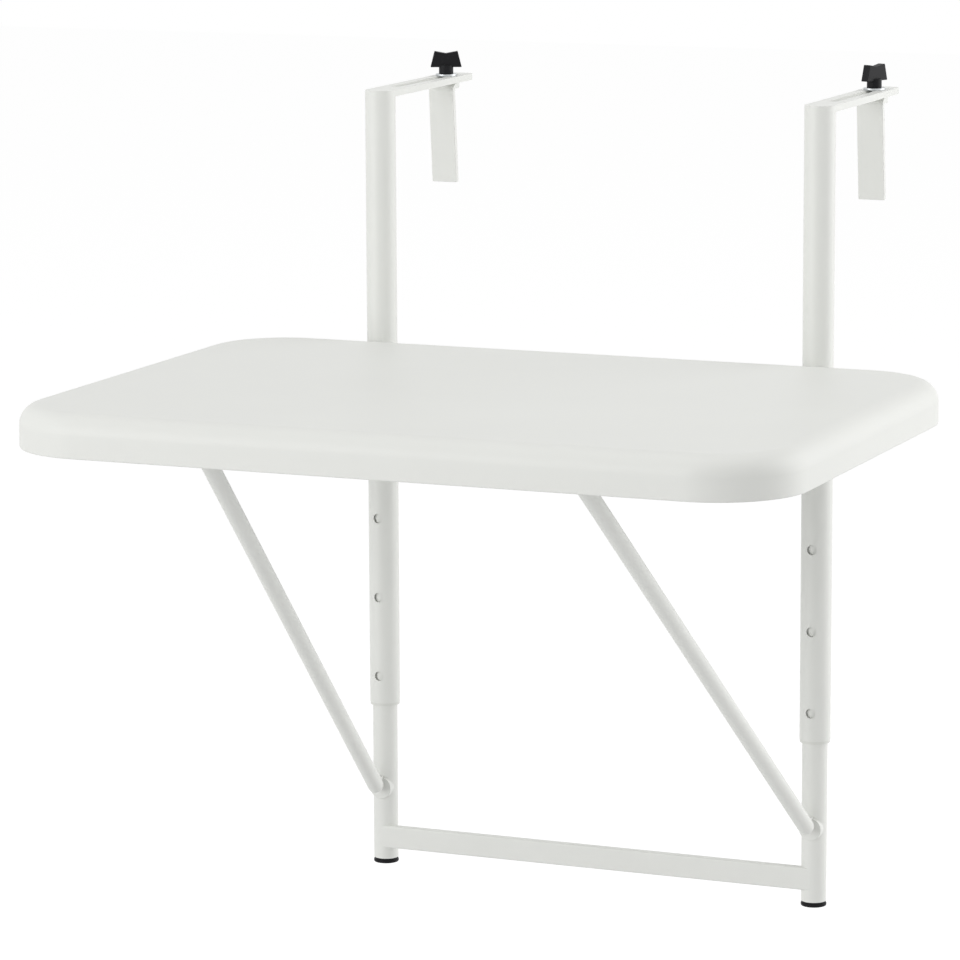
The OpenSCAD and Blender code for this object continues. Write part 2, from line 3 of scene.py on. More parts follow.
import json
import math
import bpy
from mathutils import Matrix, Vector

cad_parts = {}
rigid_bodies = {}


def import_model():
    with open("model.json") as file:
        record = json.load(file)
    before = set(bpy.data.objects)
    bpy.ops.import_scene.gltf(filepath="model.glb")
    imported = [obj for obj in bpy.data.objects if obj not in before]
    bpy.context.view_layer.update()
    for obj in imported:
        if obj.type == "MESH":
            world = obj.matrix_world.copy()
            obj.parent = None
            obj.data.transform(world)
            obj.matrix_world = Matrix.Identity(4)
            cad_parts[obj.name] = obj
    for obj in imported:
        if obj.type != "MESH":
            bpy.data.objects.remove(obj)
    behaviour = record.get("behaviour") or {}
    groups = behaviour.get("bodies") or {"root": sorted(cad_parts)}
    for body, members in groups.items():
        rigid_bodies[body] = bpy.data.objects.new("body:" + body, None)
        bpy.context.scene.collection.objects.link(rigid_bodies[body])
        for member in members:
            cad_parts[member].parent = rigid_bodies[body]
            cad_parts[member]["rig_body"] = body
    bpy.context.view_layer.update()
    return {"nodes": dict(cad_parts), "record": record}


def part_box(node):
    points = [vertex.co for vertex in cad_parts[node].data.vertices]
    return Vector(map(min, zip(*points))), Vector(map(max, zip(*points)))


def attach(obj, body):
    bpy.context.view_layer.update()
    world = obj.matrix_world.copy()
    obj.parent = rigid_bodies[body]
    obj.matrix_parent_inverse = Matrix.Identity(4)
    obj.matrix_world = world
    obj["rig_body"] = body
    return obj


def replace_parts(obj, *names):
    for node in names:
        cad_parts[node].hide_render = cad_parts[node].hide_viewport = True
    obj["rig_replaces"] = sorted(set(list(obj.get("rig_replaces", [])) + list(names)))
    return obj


bl_info = {
    "name": "Balcony Table",
    "version": (1, 0, 0),
    "blender": (4, 5, 0),
    "location": "3D View > Sidebar > Balcony Table",
    "description": "Models the pieces of a folding table that hangs on a railing, with their finishes",
    "category": "Add Mesh",
}

import bmesh
import bpy
from bpy.props import FloatProperty, FloatVectorProperty, IntProperty, PointerProperty
from mathutils import Matrix, Vector

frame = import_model()

MM = 0.001
SIDES = {"left": -1, "right": 1}

# Places that the frame gives, of a pair those of the right-hand piece
TOP_LOW, TOP_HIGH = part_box("tabletop")
POST_LOW, POST_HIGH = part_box("post_right")
ARM_LOW, ARM_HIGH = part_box("arm_right")
BUSH_LOW, BUSH_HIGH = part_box("guide_bush_right")
LEG_LOW, LEG_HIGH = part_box("lower_tube_right")
BAR_LOW, BAR_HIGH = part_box("crossbar")
CAP_LOW, CAP_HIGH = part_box("foot_cap_right")
BOSS_LOW, BOSS_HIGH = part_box("stay_boss_right")
PIN_LOW, PIN_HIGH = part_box("stay_pin_right")
CROSS_LOW, CROSS_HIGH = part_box("stay_cross_tube")
PLATE_LOW, PLATE_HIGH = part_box("clamp_plate_right")
WASHER_LOW, WASHER_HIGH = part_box("washer_right")
BOLT_LOW, BOLT_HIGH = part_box("clamp_bolt_right")
KNUCKLE_LOW, KNUCKLE_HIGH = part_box("hinge_pin_right")

POST_X = (POST_LOW.x + POST_HIGH.x) / 2
POST_R = (POST_HIGH.x - POST_LOW.x) / 2
LEG_R = (LEG_HIGH.x - LEG_LOW.x) / 2
CLAMP_Y = (WASHER_LOW.y + WASHER_HIGH.y) / 2
STAY_R = (CROSS_HIGH.z - CROSS_LOW.z) / 2
PIVOT = (PIN_LOW + PIN_HIGH) / 2
CROSS = (CROSS_LOW + CROSS_HIGH) / 2
HINGE = (KNUCKLE_LOW + KNUCKLE_HIGH) / 2
PIN_R = 3 * MM
BOLT_R = 4 * MM
# Gap round whatever turns or slides
RUN_GAP = 0.06 * MM
# Distance from the clamp bolt to the plate's front face
CLAMP_REACH = 13 * MM
# The lug is smaller than the ball that turns on it, and its room in the ball a little larger
LUG_R = STAY_R - 1.5 * MM
LUG_ROOM = STAY_R - 1.2 * MM

# A tool that cuts reaches this far past the face that it cuts
REACH = 2 * MM
# Places nearer than this are the same
SAME = MM / 100
# A place is taken to be at an edge or end when it is nearer than this
CLOSE = MM / 10
# A direction of length 1 lies along an axis when its part along it is larger than this
ALONG = 0.9
# A bevel that rounds a whole end stops this short of the middle, where its faces would meet
END_GAP = MM / 100

# Sides of the round shapes
TUBE_SIDES = 96
ROD_SIDES = 64
HOLE_SIDES = 48
# The posts have so many that their holes leave no lines in the shading
POST_SIDES = 240

# Radius of the broken edges of each piece
EDGE = {
    "post": 0.35 * MM, "bush": 0.4 * MM, "arm": 0.6 * MM, "plate": 0.7 * MM, "washer": 0.35 * MM,
    "knob": 0.5 * MM, "tube": 0.3 * MM, "cap": 0.8 * MM, "cap_rim": 0.25 * MM, "boss": 0.6 * MM,
    "lug": 0.4 * MM, "leg": 0.4 * MM, "fitting": 0.25 * MM,
}
# Angle between two faces, in degrees, past which their edge is broken, or is shaded as sharp
BROKEN_ANGLE = 35
SHARP_ANGLE = 32


def linear(hex_colour):
    """Turns an sRGB hex colour into linear values."""
    values = []
    for start in (1, 3, 5):
        part = int(hex_colour[start:start + 2], 16) / 255
        values.append(part / 12.92 if part <= 0.04045 else ((part + 0.055) / 1.055) ** 2.4)
    return values


# Sizes and colours

class TopSizes(bpy.types.PropertyGroup):
    """Sizes of the moulded table top."""
    corner_radius: FloatProperty(
        name="Corner radius", description="Radius of the corners from above",
        default=78 * MM, min=20 * MM, max=150 * MM, unit="LENGTH")
    edge_radius: FloatProperty(
        name="Edge radius", description="Radius of the upper edge",
        default=18 * MM, min=4 * MM, max=30 * MM, unit="LENGTH")
    wall: FloatProperty(
        name="Wall", description="Thickness of the moulded wall",
        default=4 * MM, min=2 * MM, max=8 * MM, unit="LENGTH")
    rib_depth: FloatProperty(
        name="Rib depth", description="Depth of the ribs under the surface",
        default=11 * MM, min=3 * MM, max=20 * MM, unit="LENGTH")
    rib_thickness: FloatProperty(
        name="Rib thickness", description="Thickness of a rib",
        default=2.5 * MM, min=1 * MM, max=5 * MM, unit="LENGTH")
    rib_pitch: FloatProperty(
        name="Rib pitch", description="Largest distance from rib to rib",
        default=62 * MM, min=30 * MM, max=120 * MM, unit="LENGTH")
    notch_width: FloatProperty(
        name="Notch width", description="Width of the skirt's notches at the hinges",
        default=25.2 * MM, min=10 * MM, max=60 * MM, unit="LENGTH")
    rim_radius: FloatProperty(
        name="Rim radius", description="Radius of the skirt's lower rim",
        default=1 * MM, min=0.2 * MM, max=1.8 * MM, unit="LENGTH")


class TubeSizes(bpy.types.PropertyGroup):
    """Sizes of the painted tubes."""
    wall: FloatProperty(
        name="Wall", description="Wall of every tube",
        default=1.5 * MM, min=0.8 * MM, max=3 * MM, unit="LENGTH")
    hole_diameter: FloatProperty(
        name="Hole", description="Diameter of the height holes",
        default=9 * MM, min=4 * MM, max=12 * MM, unit="LENGTH")
    hole_pitch: FloatProperty(
        name="Hole pitch", description="Distance from hole to hole",
        default=75 * MM, min=40 * MM, max=100 * MM, unit="LENGTH")
    hole_end: FloatProperty(
        name="Hole end", description="Distance from the lowest hole to the post's end",
        default=26 * MM, min=15 * MM, max=60 * MM, unit="LENGTH")
    hole_count: IntProperty(
        name="Holes", description="Number of height holes in each post",
        default=4, min=1, max=6)
    bar_edge: FloatProperty(
        name="Crossbar edge", description="Radius of the crossbar's edges",
        default=2 * MM, min=0.5 * MM, max=3.5 * MM, unit="LENGTH")
    bar_proud: FloatProperty(
        name="Crossbar face", description="How far the bar stands in front of the tubes",
        default=0.15 * MM, min=0.05 * MM, max=0.5 * MM, unit="LENGTH")
    boss_diameter: FloatProperty(
        name="Boss", description="Diameter of the round boss on the lower tube",
        default=21 * MM, min=14 * MM, max=22 * MM, unit="LENGTH")
    boss_proud: FloatProperty(
        name="Boss face", description="How far the boss stands in front of its tube",
        default=1.5 * MM, min=0.5 * MM, max=4 * MM, unit="LENGTH")
    lug_thickness: FloatProperty(
        name="Lug", description="Thickness of the lug in the stay's fork",
        default=5 * MM, min=2 * MM, max=8 * MM, unit="LENGTH")
    fork_gap: FloatProperty(
        name="Fork gap", description="Gap on each side of the lug",
        default=0.6 * MM, min=0.2 * MM, max=2 * MM, unit="LENGTH")
    stay_fold: FloatProperty(
        name="Stay fold", description="Angle by which the stay folds back to the posts",
        default=math.radians(43), min=0, max=math.radians(60), subtype="ANGLE")
    stay_lean: FloatProperty(
        name="Stay lean", description="How far each leg of the stay leans inwards",
        default=45 * MM, min=0, max=80 * MM, unit="LENGTH")


class HookSizes(bpy.types.PropertyGroup):
    """Sizes of the arms, clamps and knobs."""
    slot_width: FloatProperty(
        name="Slot", description="Width of the slot in the arm",
        default=8.6 * MM, min=5 * MM, max=12 * MM, unit="LENGTH")
    slot_start: FloatProperty(
        name="Slot start", description="Distance from the post's axis to the slot",
        default=33 * MM, min=20 * MM, max=60 * MM, unit="LENGTH")
    slot_margin: FloatProperty(
        name="Slot margin", description="Metal between the slot and the arm's end",
        default=13 * MM, min=5 * MM, max=30 * MM, unit="LENGTH")
    arm_end_radius: FloatProperty(
        name="Arm end", description="Corner radius at the arm's far end",
        default=7 * MM, min=1 * MM, max=13 * MM, unit="LENGTH")
    weld_radius: FloatProperty(
        name="Weld", description="Radius of the weld under the arm",
        default=4 * MM, min=1 * MM, max=8 * MM, unit="LENGTH")
    plate_thickness: FloatProperty(
        name="Clamp plate", description="Thickness of the clamp plate",
        default=5.5 * MM, min=3 * MM, max=8 * MM, unit="LENGTH")
    bend_radius: FloatProperty(
        name="Bend", description="Inside radius of the clamp plate's bend",
        default=3 * MM, min=1 * MM, max=8 * MM, unit="LENGTH")
    plate_lean: FloatProperty(
        name="Lean", description="Angle by which the plate leans outwards",
        default=math.radians(5), min=0, max=math.radians(12), subtype="ANGLE")
    neck_diameter: FloatProperty(
        name="Knob neck", description="Diameter of the knob's neck",
        default=13.6 * MM, min=8 * MM, max=20 * MM, unit="LENGTH")
    neck_height: FloatProperty(
        name="Neck height", description="Height of the knob's neck",
        default=6.4 * MM, min=2 * MM, max=12 * MM, unit="LENGTH")
    wing_width: FloatProperty(
        name="Wing width", description="Width of the wings at their lower edge",
        default=29.5 * MM, min=15 * MM, max=50 * MM, unit="LENGTH")
    tip_width: FloatProperty(
        name="Tip width", description="Width of the wings at their upper edge",
        default=22 * MM, min=10 * MM, max=40 * MM, unit="LENGTH")
    wing_thickness: FloatProperty(
        name="Wing thickness", description="Thickness of the wings",
        default=7.5 * MM, min=3 * MM, max=12 * MM, unit="LENGTH")
    wing_dip: FloatProperty(
        name="Dip", description="How far the wings' upper edge dips in the middle",
        default=2 * MM, min=0, max=6 * MM, unit="LENGTH")
    turn_left: FloatProperty(
        name="Left turn", description="Turn of the left knob",
        default=math.radians(24), subtype="ANGLE")
    turn_right: FloatProperty(
        name="Right turn", description="Turn of the right knob",
        default=math.radians(70), subtype="ANGLE")


class Finishes(bpy.types.PropertyGroup):
    """Colours of the materials."""
    paint: FloatVectorProperty(
        name="Paint", description="Powder coating of the steel tubes and plates",
        subtype="COLOR", default=linear("#e4e5e1"), min=0, max=1)
    resin: FloatVectorProperty(
        name="Resin", description="Moulded resin of the table top",
        subtype="COLOR", default=linear("#e3e4e0"), min=0, max=1)
    nylon: FloatVectorProperty(
        name="Nylon", description="Bushes, glides, catches and end plugs",
        subtype="COLOR", default=linear("#dcddd8"), min=0, max=1)
    black: FloatVectorProperty(
        name="Black plastic", description="Knobs and foot caps",
        subtype="COLOR", default=linear("#1d1d1f"), min=0, max=1)
    zinc: FloatVectorProperty(
        name="Zinc", description="Plated pins, screws, rails and hinge leaves",
        subtype="COLOR", default=linear("#c3c6c8"), min=0, max=1)


class StudioSizes(bpy.types.PropertyGroup):
    """Sizes and strengths of the studio."""
    floor_drop: FloatProperty(
        name="Floor", description="Height of the railing's top above the floor",
        default=1.0, min=0.75, max=1.5, unit="LENGTH")
    floor_size: FloatProperty(
        name="Floor size", description="Width and depth of the floor",
        default=24.0, min=5.0, max=60.0, unit="LENGTH")
    world_strength: FloatProperty(
        name="World", description="Strength of the even light from all round",
        default=0.53, min=0, max=2)
    right_power: FloatProperty(
        name="Right light", description="Power of the soft light at the right",
        default=50, min=0, max=2000, subtype="POWER")
    left_power: FloatProperty(
        name="Left light", description="Power of the soft light at the left",
        default=140, min=0, max=2000, subtype="POWER")
    top_power: FloatProperty(
        name="Top light", description="Power of the soft light above",
        default=22, min=0, max=2000, subtype="POWER")


# Modelling helpers

def select_only(piece):
    """Selects one piece, makes it active and leaves all the others unselected."""
    bpy.ops.object.select_all(action="DESELECT")
    piece.select_set(True)
    bpy.context.view_layer.objects.active = piece


def settle(name):
    """Names the new primitive and puts its place, turn and size into its mesh."""
    piece = bpy.context.object
    piece.name = name
    piece.data.name = name
    bpy.ops.object.transform_apply(location=True, rotation=True, scale=True)
    return piece


def place(piece, location, turn):
    """Puts a place and a turn into a piece's mesh."""
    piece.location = location
    piece.rotation_euler = turn
    select_only(piece)
    bpy.ops.object.transform_apply(location=True, rotation=True, scale=True)


def add_block(name, low, high):
    """A block between two corners."""
    bpy.ops.object.select_all(action="DESELECT")
    low, high = Vector(low), Vector(high)
    bpy.ops.mesh.primitive_cube_add(size=1, location=(low + high) / 2, scale=high - low)
    return settle(name)


def add_rod(name, start, end, radius, sides=ROD_SIDES, fill="NGON"):
    """A round rod from one place to another."""
    bpy.ops.object.select_all(action="DESELECT")
    start, end = Vector(start), Vector(end)
    turn = (end - start).to_track_quat("Z", "Y").to_euler()
    bpy.ops.mesh.primitive_cylinder_add(
        vertices=sides, radius=radius, depth=(end - start).length, end_fill_type=fill,
        location=(start + end) / 2, rotation=turn)
    return settle(name)


def add_cross_rod(name, middle, half, radius, sides):
    """A round rod along X, half its length to each side of its middle."""
    along = Vector((half, 0, 0))
    return add_rod(name, middle - along, middle + along, radius, sides)


def make_tube(name, start, end, radius, wall, sides=TUBE_SIDES):
    """A round tube, its wall inside the radius."""
    tube = add_rod(name, start, end, radius, sides, fill="NOTHING")
    modify(tube, "SOLIDIFY", thickness=wall, offset=-1)
    return tube


def open_edit(piece, kind, is_wanted):
    """Opens a piece in edit mode with only the verts, edges or faces selected that are wanted."""
    select_only(piece)
    bpy.ops.object.mode_set(mode="EDIT")
    bpy.ops.mesh.select_mode(type=kind)
    bpy.ops.mesh.select_all(action="DESELECT")
    shape = bmesh.from_edit_mesh(piece.data)
    for element in {"VERT": shape.verts, "EDGE": shape.edges, "FACE": shape.faces}[kind]:
        element.select_set(is_wanted(element))
    shape.select_flush_mode()
    bmesh.update_edit_mesh(piece.data)


def close_edit():
    bpy.ops.object.mode_set(mode="OBJECT")


def turn_faces_out(piece):
    """Turns every face of a closed piece outwards."""
    open_edit(piece, "FACE", everything)
    bpy.ops.mesh.normals_make_consistent(inside=False)
    close_edit()


def extrude(offset):
    """Draws out what is selected in edit mode."""
    bpy.ops.mesh.extrude_region_move(
        TRANSFORM_OT_translate={"value": offset, "orient_type": "GLOBAL"})


def bevel_edges(piece, is_wanted, width, segments, **settings):
    """Rounds the edges that are wanted."""
    open_edit(piece, "EDGE", is_wanted)
    bpy.ops.mesh.bevel(offset=width, segments=segments, affect="EDGES", **settings)
    close_edit()


def break_edges(piece, is_wanted, width, segments):
    """Rounds those of the wanted edges that are sharp."""
    sharp = math.radians(BROKEN_ANGLE)
    bevel_edges(piece, lambda edge: edge.calc_face_angle(0) > sharp and is_wanted(edge),
                width, segments, clamp_overlap=True, miter_outer="ARC")


def modify(piece, kind, **settings):
    """Adds a modifier with its settings and applies it."""
    modifier = piece.modifiers.new(kind.lower(), kind)
    for setting, value in settings.items():
        setattr(modifier, setting, value)
    select_only(piece)
    bpy.ops.object.modifier_apply(modifier=modifier.name)


def combine(piece, other, operation="UNION"):
    """Joins another piece to this one, or cuts it with the other, and uses the other up."""
    modify(piece, "BOOLEAN", object=other, operation=operation, solver="EXACT")
    bpy.data.objects.remove(other)


def cut(piece, tool):
    combine(piece, tool, "DIFFERENCE")


def soften(piece, width, segments=2, angle=BROKEN_ANGLE):
    """Rounds every edge that is sharper than the angle in degrees."""
    modify(piece, "BEVEL", width=width, segments=segments, limit_method="ANGLE",
           angle_limit=math.radians(angle), miter_outer="MITER_ARC")


def mirrored(piece, name):
    """Copies a piece to the other side of the table, with its own mesh."""
    select_only(piece)
    bpy.ops.object.duplicate(linked=False)
    other = bpy.context.object
    other.name = name
    other.data.name = name
    other.scale.x = -1
    bpy.ops.object.transform_apply(location=False, rotation=False, scale=True)
    turn_faces_out(other)
    return other


def finish(piece, context, body, slot, *nodes):
    """Gives a piece its material and smooth shading, and lets it ride in place of its nodes."""
    piece.data.materials.clear()
    piece.data.materials.append(material_for(slot, context))
    select_only(piece)
    bpy.ops.object.shade_smooth_by_angle(angle=math.radians(SHARP_ANGLE))
    modify(piece, "WEIGHTED_NORMAL", keep_sharp=True)
    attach(piece, body)
    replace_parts(piece, *nodes)


def finish_pair(piece, context, body, slot, node, left_body=None):
    """Finishes a right-hand piece and its mirrored copy on the left."""
    other = mirrored(piece, piece.name.replace("right", "left"))
    finish(piece, context, body, slot, node + "_right")
    finish(other, context, left_body or body, slot, node + "_left")


def run_of(edge):
    return edge.verts[0].co - edge.verts[1].co


def is_upright(edge):
    return run_of(edge).xy.length < SAME


def is_along_x(edge):
    return abs(run_of(edge).normalized().x) > ALONG


def lies_at(edge, level):
    return all(abs(vert.co.z - level) < SAME for vert in edge.verts)


def faces_up(face):
    return face.normal.z > ALONG


def faces_down(face):
    return face.normal.z < -ALONG


def everything(element):
    return True


# Materials

WHITE = (1.0, 1.0, 1.0, 1.0)
# Where on the noise a mottled colour is darkest and lightest
MOTTLE_ENDS = (0.3, 0.7)
# How far the gloss strays either side of its roughness
GLOSS_DRIFT = 0.05


def add_node(tree, kind, settings=None, inputs=None):
    """Adds a node; an input is a value, or a pair of a node and the name of its output."""
    node = tree.nodes.new(kind)
    for setting, value in (settings or {}).items():
        setattr(node, setting, value)
    for socket, value in (inputs or {}).items():
        if isinstance(value, tuple) and isinstance(value[0], bpy.types.Node):
            tree.links.new(value[0].outputs[value[1]], node.inputs[socket])
        else:
            node.inputs[socket].default_value = value
    return node


def new_material(name):
    """A material with an empty node tree."""
    material = bpy.data.materials.new(name)
    material.use_nodes = True
    material.node_tree.nodes.clear()
    return material, material.node_tree


def shaded(base, amount):
    """A colour a little darker or lighter than the base, as a ramp's end."""
    return [min(1.0, part * (1 + amount)) for part in base] + [1.0]


def mottled(tree, coordinates, base, size, amount):
    """A colour that drifts a little either side of the base, in patches of the given size."""
    patches = add_node(tree, "ShaderNodeTexNoise", {"noise_dimensions": "3D"},
                       {"Vector": (coordinates, "Object"), "Scale": 1 / size, "Detail": 3.0})
    ramp = add_node(tree, "ShaderNodeValToRGB", None, {"Fac": (patches, "Fac")})
    for end, position, change in zip(ramp.color_ramp.elements, MOTTLE_ENDS, (-amount, amount)):
        end.position = position
        end.color = shaded(base, change)
    return ramp


def coated_surface(name, base, roughness, grain, bump, patch, drift, more):
    """A coated or moulded surface: a drifting colour, an uneven gloss and a fine grain."""
    material, tree = new_material(name)
    coordinates = add_node(tree, "ShaderNodeTexCoord")
    colour = mottled(tree, coordinates, base, patch, drift)
    gloss_noise = add_node(tree, "ShaderNodeTexNoise", None,
                           {"Vector": (coordinates, "Object"), "Scale": 1 / patch, "Detail": 4.0})
    gloss = add_node(tree, "ShaderNodeMapRange", None,
                     {"Value": (gloss_noise, "Fac"), "To Min": roughness - GLOSS_DRIFT,
                      "To Max": roughness + GLOSS_DRIFT})
    grain_noise = add_node(tree, "ShaderNodeTexNoise", None,
                           {"Vector": (coordinates, "Object"), "Scale": 1 / grain, "Detail": 2.0})
    relief = add_node(tree, "ShaderNodeBump", None,
                      {"Height": (grain_noise, "Fac"), "Strength": 1.0, "Distance": bump})
    shader = add_node(tree, "ShaderNodeBsdfPrincipled", None,
                      {"Base Color": (colour, "Color"), "Roughness": (gloss, "Result"),
                       "Normal": (relief, "Normal"), **more})
    add_node(tree, "ShaderNodeOutputMaterial", None, {"Surface": (shader, "BSDF")})
    return material


def powder_coat(finishes):
    # Polyester powder coating, baked on steel: satin, with a fine orange peel.
    # The real peel is about 1 mm from crest to crest; it is drawn at 3 mm so that it shows.
    return coated_surface("powder_coated_steel", finishes.paint, roughness=0.42, grain=3 * MM,
                          bump=0.012 * MM, patch=90 * MM, drift=0.012, more={"IOR": 1.5})


def moulded_resin(finishes):
    # Polypropylene, injection moulded in an eroded mould: matt, faintly grained, slightly cloudy.
    # The real grain is about 0.4 mm; it is drawn at 2.5 mm so that it shows.
    return coated_surface("moulded_polypropylene", finishes.resin, roughness=0.46, grain=2.5 * MM,
                          bump=0.012 * MM, patch=160 * MM, drift=0.012, more={"IOR": 1.49})


def white_nylon(finishes):
    # Nylon, moulded: smoother and a little glossier than the table top.
    # The real grain is finer than 0.5 mm; it is drawn at 2 mm so that it shows.
    return coated_surface("moulded_nylon", finishes.nylon, roughness=0.38, grain=2 * MM,
                          bump=0.006 * MM, patch=30 * MM, drift=0.015, more={"IOR": 1.53})


def black_plastic(finishes):
    # ABS, moulded black: satin, with a leathery grain that breaks up its highlights.
    # The real grain is finer than 1 mm; it is drawn at 1.5 mm so that it shows.
    return coated_surface("moulded_black_abs", finishes.black, roughness=0.44, grain=1.5 * MM,
                          bump=0.03 * MM, patch=12 * MM, drift=0.12,
                          more={"IOR": 1.53, "Specular IOR Level": 0.1})


def zinc_plate(finishes):
    # Bright zinc plating on pressed steel: grey metal, cloudy and slightly uneven.
    # The real unevenness is finer than 0.5 mm; it is drawn at 1.2 mm so that it shows.
    return coated_surface("zinc_plated_steel", finishes.zinc, roughness=0.34, grain=1.2 * MM,
                          bump=0.008 * MM, patch=14 * MM, drift=0.07, more={"Metallic": 1.0})


MATERIALS = {
    "white_paint": powder_coat,
    "top_resin": moulded_resin,
    "white_nylon": white_nylon,
    "black_plastic": black_plastic,
    "zinc_steel": zinc_plate,
}
_made = {}


def material_for(slot, context):
    """The material of a slot of the record, made once."""
    if slot not in _made:
        _made[slot] = MATERIALS[slot](context.scene.table_finishes)
    return _made[slot]


# Table top

def round_slab(name, low, high, corner_radius, edge_radius):
    """A block with round corners seen from above and a round upper edge."""
    slab = add_block(name, low, high)
    bevel_edges(slab, is_upright, width=corner_radius, segments=24)
    bevel_edges(slab, lambda edge: lies_at(edge, high.z), width=edge_radius, segments=10)
    return slab


class AddTop(bpy.types.Operator):
    """Add the moulded table top with its skirt and ribs"""
    bl_idname = "balcony_table.add_top"
    bl_label = "Table Top"

    # The ribs leave this much room beside the hinge leaves and in front of them
    leaf_side_room = 6 * MM
    leaf_front_room = 14 * MM
    # The skirt's notches reach this far above the hinges' axis
    notch_rise = 8 * MM
    # The ribs run this share of the wall's thickness into the skirt
    rib_bite = 0.3
    # Radius of the heads of the rails' screws
    screw_head_r = 4 * MM
    boss_sides = 32

    def shell(self, sizes):
        """The deck and the skirt: a slab hollowed from below."""
        shell = round_slab("table_top", TOP_LOW, TOP_HIGH, sizes.corner_radius, sizes.edge_radius)
        deck = TOP_HIGH.z - sizes.wall
        open_edit(shell, "FACE", faces_down)
        bpy.ops.mesh.inset(thickness=sizes.wall)
        extrude((0, 0, deck - TOP_LOW.z))
        close_edit()
        bevel_edges(shell, lambda edge: lies_at(edge, deck),
                    width=sizes.edge_radius - sizes.wall, segments=6)
        bevel_edges(shell, lambda edge: lies_at(edge, TOP_LOW.z), width=sizes.rim_radius, segments=3)
        return shell

    def lattice(self, sizes):
        """The crossing ribs: a grid whose cells are cut out, pulled up into the deck."""
        inner = (TOP_HIGH - TOP_LOW) / 2 - Vector((sizes.wall, sizes.wall, 0))
        middle = (TOP_HIGH + TOP_LOW) / 2
        rib_z = TOP_HIGH.z - sizes.wall - sizes.rib_depth
        half = sizes.rib_thickness / 2
        bpy.ops.object.select_all(action="DESELECT")
        bpy.ops.mesh.primitive_grid_add(
            x_subdivisions=math.ceil(2 * inner.x / sizes.rib_pitch),
            y_subdivisions=math.ceil(2 * inner.y / sizes.rib_pitch),
            size=1, location=(middle.x, middle.y, rib_z))
        bpy.context.object.scale = (2 * inner.x, 2 * inner.y, 1)
        ribs = settle("ribs")
        open_edit(ribs, "FACE", everything)
        bpy.ops.mesh.inset(thickness=half, use_individual=True)
        bpy.ops.mesh.delete(type="FACE")
        close_edit()

        def is_border(face):
            away = face.calc_center_median() - middle
            return abs(away.x) > inner.x - half or abs(away.y) > inner.y - half

        open_edit(ribs, "FACE", is_border)
        bpy.ops.mesh.delete(type="FACE")
        close_edit()
        for vert in ribs.data.vertices:
            for axis in (0, 1):
                away = vert.co[axis] - middle[axis]
                if abs(away) > inner[axis] - half - CLOSE:
                    into_skirt = inner[axis] + sizes.wall * self.rib_bite
                    vert.co[axis] = middle[axis] + math.copysign(into_skirt, away)
        open_edit(ribs, "FACE", everything)
        extrude((0, 0, sizes.rib_depth + sizes.wall / 2))
        close_edit()
        turn_faces_out(ribs)
        return ribs

    def rail_bosses(self, sizes):
        """Bosses for the rails' screws, where the frame's screws stand."""
        rib_z = TOP_HIGH.z - sizes.wall - sizes.rib_depth
        low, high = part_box("rail_screws")
        rail_low, rail_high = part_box("under_rail_right")
        rail_x = (rail_low.x + rail_high.x) / 2
        radius = (rail_high.x - rail_low.x) / 2 - MM
        top_z = rib_z + sizes.rib_depth + REACH
        return [add_rod("boss", (side * rail_x, y, rib_z), (side * rail_x, y, top_z), radius,
                        self.boss_sides)
                for side in SIDES.values()
                for y in (low.y + self.screw_head_r, high.y - self.screw_head_r)]

    def execute(self, context):
        sizes = context.scene.table_top
        shell = self.shell(sizes)
        ribs = self.lattice(sizes)
        for boss in self.rail_bosses(sizes):
            combine(ribs, boss)
        # The ribs are cut back to end inside the skirt and the deck
        inset = Vector((sizes.wall / 2, sizes.wall / 2, 0))
        core = round_slab("core", TOP_LOW + inset - Vector((0, 0, REACH)),
                          TOP_HIGH - inset - Vector((0, 0, MM)),
                          sizes.corner_radius - sizes.wall / 2, sizes.edge_radius)
        combine(ribs, core, "INTERSECT")
        leaf_low, leaf_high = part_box("hinge_leaf_right")
        for side in SIDES.values():
            start, end = sorted((side * (leaf_low.x - self.leaf_side_room),
                                 side * (leaf_high.x + self.leaf_side_room)))
            cut(ribs, add_block("pocket", (start, leaf_low.y - self.leaf_front_room, TOP_LOW.z - REACH),
                                (end, TOP_HIGH.y - sizes.wall, TOP_HIGH.z)))
        combine(shell, ribs)
        half = sizes.notch_width / 2
        for side in SIDES.values():
            x = side * POST_X
            cut(shell, add_block("notch", (x - half, HINGE.y, TOP_LOW.z - REACH),
                                 (x + half, TOP_HIGH.y + REACH, HINGE.z + self.notch_rise)))
        finish(shell, context, "top", "top_resin", "tabletop")
        return {"FINISHED"}


# Posts, arms and clamps

